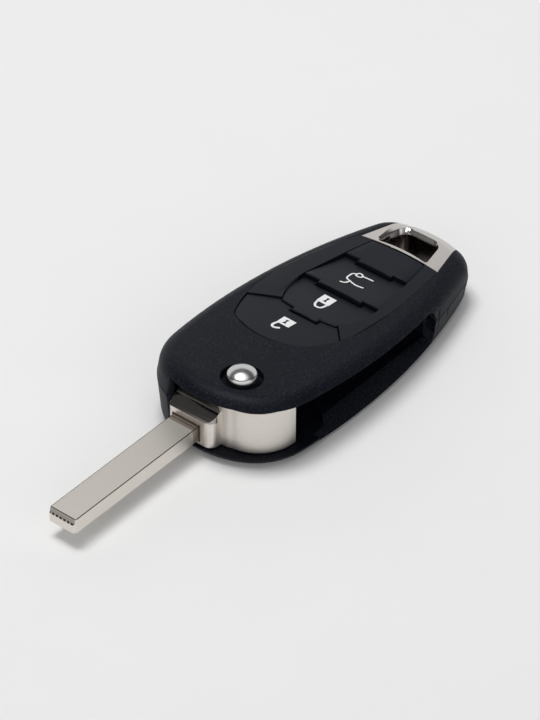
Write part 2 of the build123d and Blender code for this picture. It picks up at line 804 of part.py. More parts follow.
drum_room = disc(pivot_x, pivot_y, drum_clearance_radius, swing_floor_z,
                 drum_top_z + drum_clearance_top - swing_floor_z)


def pry_line(x, top_z, height):
    """Fine upright line cut into the slot side of the case."""
    side_y = side_centre.Y + sqrt(side_radius**2 - (x - case_widest_x) ** 2)
    return block(x - pry_line_width / 2, x + pry_line_width / 2, -far, pry_line_depth - side_y,
                 top_z - height, top_z)


pry_seam_z = seam_height - seam_slope * pry_back_x
pry_lines = pry_line(pry_front_x, pry_seam_z + pry_front_height / 2, pry_front_height)
pry_lines += pry_line(pry_back_x, pry_seam_z, pry_back_height)
groove_face = case_outline(-1) - case_outline(seam_groove_depth)
seam_groove = seam_plane * Pos(0, 0, -seam_groove_width / 2) * extrude(groove_face, amount=seam_groove_width)
openings = slot + swing + mouth_edge + drum_room + pry_lines + seam_groove + loop_room

shell = envelope - cavity
loop_wall = prism(loop_outline(wall), 0, far) & envelope
end_wall = block(channel_end_x, channel_end_x + wall, -far, channel_inner_y, 0, far) & envelope
end_wall = end_wall & below_plane(end_wall_drop)
walls = shell + loop_wall + end_wall

# Lower cover
pad_low_z = floor_thickness / 2
sill = block(sill_start_x, channel_end_x + wall, -far, sill_inner_y, 0, seam_height) & envelope
channel_floor = block(sill_start_x, channel_end_x + wall, sill_inner_y, channel_inner_y, 0, channel_floor_z)
partition = block(
    pivot_x + swing_radius,
    channel_end_x + wall,
    channel_inner_y,
    channel_inner_y + partition_thickness,
    pad_low_z,
    partition_top_z - partition_gap,
)
platform = disc(pivot_x, pivot_y, swing_radius + wall, pad_low_z, swing_floor_z - pad_low_z)
inside_case = case_body(wall / 2, wall, pad_low_z)
platform = platform & inside_case
lower = (walls & below_seam) + ((sill + channel_floor + partition) & below_seam) + platform
pad_front_x = tongue_front_x - tongue_pad_margin
pad_half = tongue_half_width + tongue_pad_margin
tongue_pad = block(pad_front_x, loop_front_x - wall / 2, -pad_half, pad_half, pad_low_z, tongue_base_z)
lower = lower + tongue_pad
for post_y in (tray_left_y - tray_post_inset, tray_right_y + tray_post_inset):
    for tray_post_x in (tray_front_x + tray_post_inset, tray_back_x - tray_post_inset):
        post = disc(tray_post_x, post_y, tray_post_radius, pad_low_z, far)
        lower = lower + (post & below_plane(tray_bottom))
lip_face = case_outline(wall - lip_thickness) - case_outline(wall)
lip = extrude(seam_plane * lip_face, amount=lip_height, dir=seam_plane.z_dir)
tongue_window = block(
    tongue_front_x - loop_gap,
    far,
    -tongue_half_width - loop_gap,
    tongue_half_width + loop_gap,
    tongue_base_z,
    far,
)
cup_socket_side = cup_key_side + 2 * cup_key_clearance
cup_socket = cup_key_centre * Box(cup_socket_side, cup_socket_side, cup_key_depth + 2 * cup_key_clearance)
thrust_ring_height = holder_base_z - thrust_ring_gap - swing_floor_z
thrust_ring = disc(pivot_x, pivot_y, hub_radius, swing_floor_z, thrust_ring_height)
thrust_ring = thrust_ring - disc(pivot_x, pivot_y, hub_bore_radius, 0, far)
tongue_post = disc(post_x, 0, tongue_hole_radius - tongue_post_clearance, pad_low_z,
                   tongue_base_z + tongue_thickness - pad_low_z)
lower_cover = one_solid((lower + lip) - openings - tongue_window - cup_socket + thrust_ring + tongue_post)

# Upper cover
field_room = field_prism(field_outline(field_gap), far, -bezel_depth - field_gap)
rim_room_zone = rectangle(bezel_rim_front_x - field_gap, far, -far, far)
rim_room_face = field_outline(field_flange + field_gap) & rim_room_zone
rim_room = field_prism(rim_room_face, -cover_thickness, -bezel_depth - field_gap)
lip_room_face = case_outline(wall - lip_thickness - lip_clearance) - case_outline(wall + lip_thickness)
lip_room = extrude(seam_plane * lip_room_face, amount=lip_height + lip_clearance, dir=seam_plane.z_dir)
clamp = block(tongue_front_x, loop_front_x + loop_front_bow, -tongue_half_width, tongue_half_width,
              tongue_base_z + tongue_thickness, far)
clamp = (clamp & below_plane(bezel_depth + field_gap)) - loop_room
boss = disc(pivot_x, pivot_y, release_boss_radius, drum_top_z + cover_drum_gap, far) & envelope
flare_share = 1 - cos(radians(45))
flare_radius = release_recess_radius + release_recess_flare
recess_profile = make_face([
    Polyline(
        (flare_radius, 0),
        (flare_radius, far),
        (0, far),
        (0, -release_recess_depth),
        (release_recess_radius, -release_recess_depth),
        (release_recess_radius, -release_recess_flare),
    ),
    ThreePointArc(
        (release_recess_radius, -release_recess_flare),
        (release_recess_radius + release_recess_flare * flare_share, -release_recess_flare * flare_share),
        (flare_radius, 0),
    ),
])
recess_place = top_plane.to_local_coords(Vector(pivot_x, pivot_y, top_height - top_slope * pivot_x))
release_recess = Pos(recess_place.X, recess_place.Y, 0) * revolve(Plane.XZ * recess_profile, Axis.Z)
release_recess = top_plane * release_recess
release_bore = disc(pivot_x, pivot_y, release_radius + release_clearance, 0, far)
upper = (walls - below_seam) - lip_room - openings - field_room - rim_room
upper_cover = one_solid(upper + boss + clamp - release_recess - release_bore)

pieces = {
    "lower_cover": lower_cover,
    "upper_cover": upper_cover,
    "key_ring_loop": key_ring_loop,
    "button_bezel": button_bezel,
    "unlock_button": unlock_button,
    "lock_button": lock_button,
    "boot_button": boot_button,
    "blank_cap": blank_cap,
    "keypad_membrane": keypad_membrane,
    "board_tray": board_tray,
    "blade_holder": blade_holder,
    "key_blade": key_blade,
    "blade_roll_pin": blade_roll_pin,
    "release_button": release_button,
    "lock_cog": lock_cog,
    "flip_spring": flip_spring,
    "spring_cup": spring_cup,
}
os.makedirs("parts", exist_ok=True)
for name, piece in pieces.items():
    export_step(piece, f"parts/{name}.step")
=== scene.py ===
"""Looks of a flip key fob shell with its blank blade swung out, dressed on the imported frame."""

import json
import logging
import math
from collections.abc import Callable
from dataclasses import dataclass
from enum import Enum
from typing import NamedTuple

import bmesh
import bpy
from mathutils import Matrix, Vector
from mathutils.bvhtree import BVHTree

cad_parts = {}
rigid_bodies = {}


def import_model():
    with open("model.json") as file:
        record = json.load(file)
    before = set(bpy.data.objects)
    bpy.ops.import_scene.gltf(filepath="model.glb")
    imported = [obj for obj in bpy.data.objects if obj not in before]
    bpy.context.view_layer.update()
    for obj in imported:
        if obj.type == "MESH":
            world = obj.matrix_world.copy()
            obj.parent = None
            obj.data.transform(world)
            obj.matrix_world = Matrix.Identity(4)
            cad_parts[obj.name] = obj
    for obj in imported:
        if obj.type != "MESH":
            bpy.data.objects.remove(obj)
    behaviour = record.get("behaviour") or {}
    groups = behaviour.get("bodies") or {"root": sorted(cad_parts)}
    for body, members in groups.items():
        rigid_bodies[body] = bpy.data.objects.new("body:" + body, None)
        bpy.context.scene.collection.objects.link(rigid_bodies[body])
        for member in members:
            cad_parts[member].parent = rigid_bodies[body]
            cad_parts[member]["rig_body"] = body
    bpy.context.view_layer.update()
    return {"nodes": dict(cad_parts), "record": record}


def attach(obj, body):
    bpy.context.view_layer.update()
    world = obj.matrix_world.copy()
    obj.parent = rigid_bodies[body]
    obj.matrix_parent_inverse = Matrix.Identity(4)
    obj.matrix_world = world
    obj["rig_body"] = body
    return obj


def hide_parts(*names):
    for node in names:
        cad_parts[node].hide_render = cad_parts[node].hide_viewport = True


MM = 0.001
log = logging.getLogger("key_fob")

Point = tuple[float, float]
Colour = tuple[float, float, float, float]
CurveShaper = Callable[[bpy.types.Curve, bpy.types.Spline], None]


def linear(hex_colour: str) -> Colour:
    """Turn an sRGB hex colour into the linear colour the shaders use.

    Args:
        hex_colour: Six hex digits, such as "EFEFEF".

    Returns:
        Linear red, green and blue, and an alpha of one.
    """
    channels = []
    for start in (0, 2, 4):
        value = int(hex_colour[start : start + 2], 16) / 255
        channels.append(value / 12.92 if value <= 0.04045 else ((value + 0.055) / 1.055) ** 2.4)
    return (channels[0], channels[1], channels[2], 1.0)


def add_node(
    tree: bpy.types.NodeTree,
    kind: str,
    settings: dict[str, object] | None = None,
    sockets: dict[str, object] | None = None,
) -> bpy.types.Node:
    """Add one shader node with its settings, values and links.

    Args:
        tree: The material's or world's node tree.
        kind: The node's type name.
        settings: Attributes to set on the node.
        sockets: Input values by socket name or number; an output socket as a value is linked.

    Returns:
        The new node.
    """
    node = tree.nodes.new(kind)
    for name, value in (settings or {}).items():
        setattr(node, name, value)
    for name, value in (sockets or {}).items():
        socket = node.inputs[int(name)] if name.isdigit() else node.inputs[name]
        if isinstance(value, bpy.types.NodeSocket):
            tree.links.new(value, socket)
        else:
            socket.default_value = value
    return node


class Way(Enum):
    """What a soft limit is measured along."""

    LENGTH = "X"
    WIDTH = "Y"
    HEIGHT = "Z"
    BEHIND = "behind the fob"


class Limit(NamedTuple):
    """A soft limit of an area: outside it at the first value, inside it at the second."""

    way: Way
    outside: float
    inside: float


def soft_area(
    tree: bpy.types.NodeTree,
    places: dict[Way, bpy.types.NodeSocket],
    limits: tuple[Limit, ...],
    unit: float = 1.0,
) -> bpy.types.NodeSocket:
    """Mark the area that lies inside all of some soft limits.

    Args:
        tree: The node tree.
        places: Sockets that measure the place along each way.
        limits: The area's limits.
        unit: Size of the limits' unit in the sockets' own.

    Returns:
        The socket with the mask, one inside and zero outside.
    """
    mask = None
    for limit in limits:
        side = add_node(
            tree,
            "ShaderNodeMapRange",
            {"interpolation_type": "SMOOTHSTEP"},
            {
                "Value": places[limit.way],
                "From Min": limit.outside * unit,
                "From Max": limit.inside * unit,
            },
        ).outputs["Result"]
        if mask is not None:
            side = add_node(
                tree, "ShaderNodeMath", {"operation": "MULTIPLY"}, {"0": mask, "1": side}
            ).outputs[0]
        mask = side
    return mask


class Finish:
    """Base of the finishes: makes one material and keeps it."""

    name: str

    def material(self) -> bpy.types.Material:
        """Make the material on first use and return it.

        Returns:
            The finished material.
        """
        made = bpy.data.materials.get(self.name)
        if made is None:
            made = bpy.data.materials.new(self.name)
            made.use_nodes = True
            tree = made.node_tree
            tree.nodes.clear()
            surface = self.shader(tree).outputs[0]
            add_node(tree, "ShaderNodeOutputMaterial", sockets={"Surface": surface})
        return made

    def shader(self, tree: bpy.types.NodeTree) -> bpy.types.Node:
        """Build the surface shader in the tree.

        Args:
            tree: The material's node tree.

        Returns:
            The shader node.
        """
        raise NotImplementedError

    def surface_normal(
        self,
        tree: bpy.types.NodeTree,
        height: bpy.types.NodeSocket,
        depth_mm: float,
        strength: float,
        edge_mm: float,
    ) -> bpy.types.NodeSocket:
        """Round the sharp edges a little and raise a fine relief on the faces.

        Args:
            tree: The material's node tree.
            height: Socket with the relief's height from zero to one.
            depth_mm: Depth of the relief.
            strength: Share of the relief that shows.
            edge_mm: Radius of the rounded edges.

        Returns:
            The socket with the normal.
        """
        edge = add_node(tree, "ShaderNodeBevel", {"samples": 6}, {"Radius": edge_mm * MM})
        relief = add_node(
            tree,
            "ShaderNodeBump",
            sockets={
                "Strength": strength,
                "Distance": depth_mm * MM,
                "Height": height,
                "Normal": edge.outputs["Normal"],
            },
        )
        return relief.outputs["Normal"]


@dataclass(frozen=True)
class MouldedPlastic(Finish):
    """Injection moulded ABS: dark, with the grain of its mould and softened edges."""

    name: str
    colour: str
    fleck_colour: str
    roughness: float
    specular: float
    grain_mm: float
    grain_depth_mm: float
    fleck_from: float
    # Noise value over which a paler point fades in, and its size against the grain's
    fleck_fade: float = 0.16
    fleck_size: float = 1.3
    # Size and height of the slow change of gloss across the plastic
    gloss_cloud_mm: float = 9.0
    gloss_spread: float = 0.03
    grain_strength: float = 0.5
    edge_mm: float = 0.15
    ior: float = 1.5
    # A tint that gives the black plastic its slightly blue sheen
    sheen_colour: str = "E4EAFF"

    def shader(self, tree: bpy.types.NodeTree) -> bpy.types.Node:
        """Build the plastic from a grain relief, sparse paler points and a slow change of gloss.

        Args:
            tree: The material's node tree.

        Returns:
            The shader node.
        """
        place = add_node(tree, "ShaderNodeTexCoord").outputs["Object"]
        grain, flecks, cloud = (
            add_node(
                tree,
                "ShaderNodeTexNoise",
                sockets={"Vector": place, "Scale": 1 / (size_mm * MM), "Detail": detail},
            ).outputs["Fac"]
            for size_mm, detail in (
                (self.grain_mm, 2.0),
                (self.fleck_size * self.grain_mm, 1.0),
                (self.gloss_cloud_mm, 2.0),
            )
        )
        pick = add_node(
            tree,
            "ShaderNodeMapRange",
            {"interpolation_type": "SMOOTHSTEP"},
            {
                "Value": flecks,
                "From Min": self.fleck_from,
                "From Max": self.fleck_from + self.fleck_fade,
            },
        )
        tint = add_node(
            tree,
            "ShaderNodeMix",
            {"data_type": "RGBA"},
            {
                "0": pick.outputs["Result"],
                "6": linear(self.colour),
                "7": linear(self.fleck_colour),
            },
        )
        gloss = add_node(
            tree,
            "ShaderNodeMapRange",
            sockets={
                "Value": cloud,
                "To Min": self.roughness - self.gloss_spread,
                "To Max": self.roughness + self.gloss_spread,
            },
        )
        return add_node(
            tree,
            "ShaderNodeBsdfPrincipled",
            sockets={
                "Base Color": tint.outputs[2],
                "Roughness": gloss.outputs["Result"],
                "IOR": self.ior,
                "Specular IOR Level": self.specular,
                "Specular Tint": linear(self.sheen_colour),
                "Normal": self.surface_normal(
                    tree, grain, self.grain_depth_mm, self.grain_strength, self.edge_mm
                ),
            },
        )


@dataclass(frozen=True)
class PaintedLightOrMark:
    """One tinted place on a metal, with its limits in millimetres: painted reflection, painted
    shade or a real mark.
    """

    colour: str
    limits: tuple[Limit, ...]
    roughness: float | None = None
    # Pitch across the piece of a place that is broken into dashes, or zero
    dash_mm: float = 0.0
    # Where a dash starts and is full, on a sine from -1 to 1
    dash_fade: tuple[float, float] = (-1.1, 0.2)

    def mask(
        self, tree: bpy.types.NodeTree, places: dict[Way, bpy.types.NodeSocket]
    ) -> bpy.types.NodeSocket:
        """Mark the tinted place.

        Args:
            tree: The material's node tree.
            places: Sockets that measure the place along each way.

        Returns:
            The socket with the mask.
        """
        area = soft_area(tree, places, self.limits, MM)
        if not self.dash_mm:
            return area
        turn = add_node(
            tree,
            "ShaderNodeMath",
            {"operation": "MULTIPLY"},
            {"0": places[Way.WIDTH], "1": 2 * math.pi / (self.dash_mm * MM)},
        )
        wave = add_node(tree, "ShaderNodeMath", {"operation": "SINE"}, {"0": turn.outputs[0]})
        dashes = add_node(
            tree,
            "ShaderNodeMapRange",
            {"interpolation_type": "SMOOTHSTEP"},
            {
                "Value": wave.outputs[0],
                "From Min": self.dash_fade[0],
                "From Max": self.dash_fade[1],
            },
        )
        return add_node(
            tree,
            "ShaderNodeMath",
            {"operation": "MULTIPLY"},
            {"0": area, "1": dashes.outputs["Result"]},
        ).outputs[0]


@dataclass(frozen=True)
class PlatedMetal(Finish):
    """Plated zinc or brass: a metal skin with a fine cast unevenness in tone and gloss."""

    name: str
    colour: str
    dark_colour: str
    roughness: float
    painted_light_and_marks: tuple[PaintedLightOrMark, ...] = ()
    grain_mm: float = 0.4
    grain_depth_mm: float = 0.003
    grain_strength: float = 0.4
    gloss_spread: float = 0.03
    edge_mm: float = 0.15

    def shader(self, tree: bpy.types.NodeTree) -> bpy.types.Node:
        """Build the metal with its speckle and, where it has them, its tinted places of painted
        reflection, painted shade and marks.

        Args:
            tree: The material's node tree.

        Returns:
            The shader node.
        """
        place = add_node(tree, "ShaderNodeTexCoord").outputs["Object"]
        speckle = add_node(
            tree,
            "ShaderNodeTexNoise",
            sockets={"Vector": place, "Scale": 1 / (self.grain_mm * MM), "Detail": 3.0},
        ).outputs["Fac"]
        tint = add_node(
            tree,
            "ShaderNodeMix",
            {"data_type": "RGBA"},
            {"0": speckle, "6": linear(self.dark_colour), "7": linear(self.colour)},
        ).outputs[2]
        gloss = add_node(
            tree,
            "ShaderNodeMapRange",
            sockets={
                "Value": speckle,
                "To Min": self.roughness - self.gloss_spread,
                "To Max": self.roughness + self.gloss_spread,
            },
        ).outputs["Result"]
        if self.painted_light_and_marks:
            axes = add_node(tree, "ShaderNodeSeparateXYZ", sockets={"0": place}).outputs
            places = {way: axes[way.value] for way in (Way.LENGTH, Way.WIDTH, Way.HEIGHT)}
            for painted_light_and_marks in self.painted_light_and_marks:
                share = painted_light_and_marks.mask(tree, places)
                tint = add_node(
                    tree,
                    "ShaderNodeMix",
                    {"data_type": "RGBA"},
                    {"0": share, "6": tint, "7": linear(painted_light_and_marks.colour)},
                ).outputs[2]
                if painted_light_and_marks.roughness is not None:
                    gloss = add_node(
                        tree,
                        "ShaderNodeMix",
                        sockets={"0": share, "2": gloss, "3": painted_light_and_marks.roughness},
                    ).outputs[0]
        return add_node(
            tree,
            "ShaderNodeBsdfPrincipled",
            sockets={
                "Base Color": tint,
                "Metallic": 1.0,
                "Roughness": gloss,
                "Normal": self.surface_normal(
                    tree, speckle, self.grain_depth_mm, self.grain_strength, self.edge_mm
                ),
            },
        )


@dataclass(frozen=True)
class SoftCoat(Finish):
    """A coat with a faint mottle: printed ink, silicone rubber or the paper of the floor."""

    name: str
    colour: str
    mottle_colour: str
    roughness: float
    mottle_mm: float
    specular: float = 0.2

    def shader(self, tree: bpy.types.NodeTree) -> bpy.types.Node:
        """Build the coat from two close tones.

        Args:
            tree: The material's node tree.

        Returns:
            The shader node.
        """
        place = add_node(tree, "ShaderNodeTexCoord").outputs["Object"]
        mottle = add_node(
            tree,
            "ShaderNodeTexNoise",
            sockets={"Vector": place, "Scale": 1 / (self.mottle_mm * MM), "Detail": 2.0},
        )
        tint = add_node(
            tree,
            "ShaderNodeMix",
            {"data_type": "RGBA"},
            {
                "0": mottle.outputs["Fac"],
                "6": linear(self.mottle_colour),
                "7": linear(self.colour),
            },
        )
        return add_node(
            tree,
            "ShaderNodeBsdfPrincipled",
            sockets={
                "Base Color": tint.outputs[2],
                "Roughness": self.roughness,
                "Specular IOR Level": self.specular,
            },
        )


# These places are matched tints; those that are painted light say so, and for the others the
# causes that their names give are guesses.
# The raised arch of the holder's block is smoother, and its darker tint is a painted dark
# reflection.
PAINTED_REFLECTION_ARCH = PaintedLightOrMark(
    "A8A39E",
    (
        Limit(Way.LENGTH, -39.72, -39.68),
        Limit(Way.LENGTH, -37.31, -37.35),
        Limit(Way.WIDTH, -4.09, -4.05),
        Limit(Way.WIDTH, 7.44, 7.4),
        Limit(Way.HEIGHT, 8.9, 8.96),
    ),
    roughness=0.13,
)
# The walls of the loop's opening are darker than the rest of the loop, as painted shade in the
# well
PAINTED_SHADE_WELL = PaintedLightOrMark(
    "6E6662",
    (
        Limit(Way.LENGTH, 28.2, 28.4),
        Limit(Way.LENGTH, 36.4, 36.2),
        Limit(Way.WIDTH, -8.4, -8.2),
        Limit(Way.WIDTH, 8.4, 8.2),
        Limit(Way.HEIGHT, 11.4, 10.2),
    ),
)
# The blade is darker where it enters the holder, and darker still in the groove there, where the
# tint is painted shade
DARKER_BLADE_ROOT = PaintedLightOrMark(
    "A0968C", (Limit(Way.LENGTH, -41.6, -41.3), Limit(Way.LENGTH, -39.4, -39.7))
)
PAINTED_SHADE_ROOT_GROOVE = PaintedLightOrMark(
    "6E6258", (Limit(Way.LENGTH, -40.7, -40.6), Limit(Way.LENGTH, -40.3, -40.4))
)
# Both long top edges of the blade show as a thin dark line, a painted reflection in the edges'
# small rounding
PAINTED_REFLECTION_EDGES = (
    PaintedLightOrMark("4E463F", (Limit(Way.WIDTH, 6.05, 6.11), Limit(Way.HEIGHT, 6.98, 7.04))),
    PaintedLightOrMark("4E463F", (Limit(Way.WIDTH, -0.35, -0.41), Limit(Way.HEIGHT, 6.98, 7.04))),
)
# The bevel of the tip is darker, under a thin dark line that is a painted reflection in its top
# edge, and over a row of dark marks 1 mm apart
TIP_BEVEL = PaintedLightOrMark(
    "A39C95",
    (
        Limit(Way.LENGTH, -77.3, -77.35),
        Limit(Way.HEIGHT, 5.8, 5.9),
        Limit(Way.HEIGHT, 7.0, 6.9),
    ),
)
PAINTED_REFLECTION_TIP_EDGE = PaintedLightOrMark(
    "4A4440",
    (
        Limit(Way.LENGTH, -77.35, -77.3),
        Limit(Way.LENGTH, -77.13, -77.18),
        Limit(Way.HEIGHT, 6.9, 7.1),
    ),
)
SHEAR_MARKS = PaintedLightOrMark(
    "2E2A28",
    (
        Limit(Way.LENGTH, -77.4, -77.45),
        Limit(Way.HEIGHT, 5.6, 5.7),
        Limit(Way.HEIGHT, 6.2, 6.1),
    ),
    dash_mm=1.0,
)

# Black ABS of the covers: a spark-eroded mould leaves a matte skin with tiny paler points, drawn
# at 0.2 mm because finer grit would not show in the picture
CASE_ABS = MouldedPlastic(
    "moulded_abs_case",
    colour="080A11",
    fleck_colour="2D3039",
    roughness=0.5,
    specular=0.15,
    grain_mm=0.2,
    grain_depth_mm=0.008,
    fleck_from=0.57,
)
# The keys look as if they came from a finer mould, smoother and a little bluer
KEY_ABS = MouldedPlastic(
    "moulded_abs_keys",
    colour="101319",
    fleck_colour="171A23",
    roughness=0.46,
    specular=0.2,
    grain_mm=0.25,
    grain_depth_mm=0.002,
    fleck_from=0.6,
)
# Inner parts are plain black moulded plastic with a soft sheen
INNER_ABS = MouldedPlastic(
    "moulded_abs_inner",
    colour="101012",
    fleck_colour="18181B",
    roughness=0.5,
    specular=0.3,
    grain_mm=0.3,
    grain_depth_mm=0.004,
    fleck_from=0.6,
)
# Satin nickel on die-cast zinc: warm light grey, with a smoother arch that carries a painted dark
# reflection
HOLDER_NICKEL = PlatedMetal(
    "satin_nickel_holder",
    colour="E6E1DB",
    dark_colour="DAD4CD",
    roughness=0.42,
    painted_light_and_marks=(PAINTED_REFLECTION_ARCH,),
)
# The loop is smoother, so the walls of its opening mirror each other
RING_NICKEL = PlatedMetal(
    "satin_nickel_ring",
    colour="D2CECB",
    dark_colour="C6C1BD",
    roughness=0.16,
    painted_light_and_marks=(PAINTED_SHADE_WELL,),
)
# The blank's nickel is satin, with tinted places at its tip, its long edges and its root
BLADE_NICKEL = PlatedMetal(
    "blade_nickel_plate",
    colour="E6E1DA",
    dark_colour="DCD6CE",
    roughness=0.42,
    painted_light_and_marks=(DARKER_BLADE_ROOT, PAINTED_SHADE_ROOT_GROOVE, *PAINTED_REFLECTION_EDGES, TIP_BEVEL, PAINTED_REFLECTION_TIP_EDGE, SHEAR_MARKS),
)
# Chrome without grain gives back the lamp as one soft spot
POLISHED_CHROME = PlatedMetal(
    "polished_chrome",
    colour="D2D1D2",
    dark_colour="CCCBCC",
    roughness=0.23,
    grain_depth_mm=0.0,
)
# Plain drawn steel of the pin, cog and spring
BARE_STEEL = PlatedMetal("bare_steel", colour="A9A9A9", dark_colour="8E8E8E", roughness=0.35)
# Silicone rubber of the key mat: dull and slightly mottled
MAT_RUBBER = SoftCoat(
    "silicone_rubber", colour="2E2F31", mottle_colour="27282A", roughness=0.65, mottle_mm=1.5
)
# Pad-printed white ink of the key marks
WHITE_INK = SoftCoat(
    "pad_printed_ink", colour="F0F0F0", mottle_colour="E6E6E8", roughness=0.55, mottle_mm=0.4
)
# Matte paper under the fob
FLOOR_PAPER = SoftCoat(
    "floor_paper", colour="F0F0F0", mottle_colour="EEEEEE", roughness=0.9, mottle_mm=20.0
)


@dataclass(frozen=True)
class Glow:
    """One lit part of the studio round the fob, limited by its direction from the fob."""

    level: float
    limits: tuple[Limit, ...]


# Pale backdrop behind the fob, lit wall behind the camera and bright ceiling
BACKDROP_GLOW = Glow(0.84, (Limit(Way.BEHIND, 0.3, 0.6), Limit(Way.HEIGHT, 0.62, 0.55)))
FRONT_GLOW = Glow(1.0, (Limit(Way.BEHIND, -0.28, -0.55), Limit(Way.HEIGHT, 0.8, 0.6)))
CEILING_GLOW = Glow(1.3, (Limit(Way.HEIGHT, 0.85, 0.99),))


@dataclass
class Studio:
    """Camera, lamp, floor and world of the picture."""

    camera_mm: tuple[float, float, float] = (-467.533, -372.546, 478.448)
    elevation_deg: float = 38.68
    plan_angle_deg: float = 50.47
    lens_mm: float = 180.0
    sensor_mm: float = 36.0
    view_range_m: tuple[float, float] = (0.01, 20.0)
    lamp_place_m: tuple[float, float, float] = (-0.02, 0.2, 0.98)
    lamp_long_m: float = 0.4
    lamp_short_m: float = 0.28
    lamp_watts: float = 4.7
    glows: tuple[Glow, ...] = (BACKDROP_GLOW, FRONT_GLOW, CEILING_GLOW)
    dim_level: float = 0.08
    floor_half_m: float = 3.0

    def build(self) -> None:
        """Make the camera, the lamp, the world and the floor."""
        self.make_camera()
        self.make_lamp()
        self.make_world()
        self.make_floor()

    def heading(self) -> Vector:
        """Return the level direction in which the camera looks."""
        plan = math.radians(self.plan_angle_deg)
        return Vector((math.sin(plan), math.cos(plan), 0.0))

    def make_camera(self) -> None:
        """Place the camera at the photograph's angle."""
        elevation = math.radians(self.elevation_deg)
        look = self.heading() * math.cos(elevation) - Vector((0.0, 0.0, math.sin(elevation)))
        data = bpy.data.cameras.new("camera")
        data.lens = self.lens_mm
        data.sensor_width = self.sensor_mm
        data.sensor_fit = "AUTO"
        data.clip_start, data.clip_end = self.view_range_m
        camera = bpy.data.objects.new("camera", data)
        camera.location = Vector(self.camera_mm) * MM
        camera.rotation_mode = "QUATERNION"
        camera.rotation_quaternion = look.to_track_quat("-Z", "Y")
        bpy.context.collection.objects.link(camera)
        bpy.context.scene.camera = camera

    def make_lamp(self) -> None:
        """Hang one long softbox over the fob, its long side across the picture."""
        data = bpy.data.lights.new("overhead_softbox", "AREA")
        data.shape = "RECTANGLE"
        data.size = self.lamp_long_m
        data.size_y = self.lamp_short_m
        data.energy = self.lamp_watts
        lamp = bpy.data.objects.new("overhead_softbox", data)
        heading = self.heading()
        back = Vector(self.lamp_place_m).normalized()
        across = Vector((heading.y, -heading.x, 0.0))
        across = (across - back * across.dot(back)).normalized()
        turn = Matrix((across, back.cross(across), back)).transposed()
        lamp.location = self.lamp_place_m
        lamp.rotation_mode = "QUATERNION"
        lamp.rotation_quaternion = turn.to_quaternion()
        bpy.context.collection.objects.link(lamp)

    def make_world(self) -> None:
        """Give the world its lit parts and leave the rest of it dim."""
        world = bpy.data.worlds.new("studio_air")
        world.use_nodes = True
        tree = world.node_tree
        tree.nodes.clear()
        direction = add_node(tree, "ShaderNodeTexCoord").outputs["Generated"]
        axes = add_node(tree, "ShaderNodeSeparateXYZ", sockets={"0": direction}).outputs
        level_part = add_node(
            tree,
            "ShaderNodeVectorMath",
            {"operation": "MULTIPLY"},
            {"0": direction, "1": (1, 1, 0)},
        )
        bearing = add_node(
            tree,
            "ShaderNodeVectorMath",
            {"operation": "NORMALIZE"},
            {"0": level_part.outputs["Vector"]},
        )
        behind = add_node(
            tree,
            "ShaderNodeVectorMath",
            {"operation": "DOT_PRODUCT"},
            {"0": bearing.outputs["Vector"], "1": self.heading()},
        )
        places = {Way.BEHIND: behind.outputs["Value"], Way.HEIGHT: axes["Z"]}
        lit = (self.dim_level, self.dim_level, self.dim_level, 1.0)
        for glow in self.glows:
            lit = add_node(
                tree,
                "ShaderNodeMix",
                {"data_type": "RGBA"},
                {
                    "0": soft_area(tree, places, glow.limits),
                    "6": lit,
                    "7": (glow.level, glow.level, glow.level, 1.0),
                },
            ).outputs[2]
        air = add_node(tree, "ShaderNodeBackground", sockets={"Color": lit, "Strength": 1.0})
        add_node(tree, "ShaderNodeOutputWorld", sockets={"Surface": air.outputs[0]})
        bpy.context.scene.world = world

    def make_floor(self) -> None:
        """Lay the pale floor under the fob."""
        mesh = bpy.data.meshes.new("floor")
        shape = bmesh.new()
        bmesh.ops.create_grid(shape, x_segments=1, y_segments=1, size=self.floor_half_m)
        shape.to_mesh(mesh)
        shape.free()
        floor = bpy.data.objects.new("floor", mesh)
        mesh.materials.append(FLOOR_PAPER.material())
        bpy.context.collection.objects.link(floor)


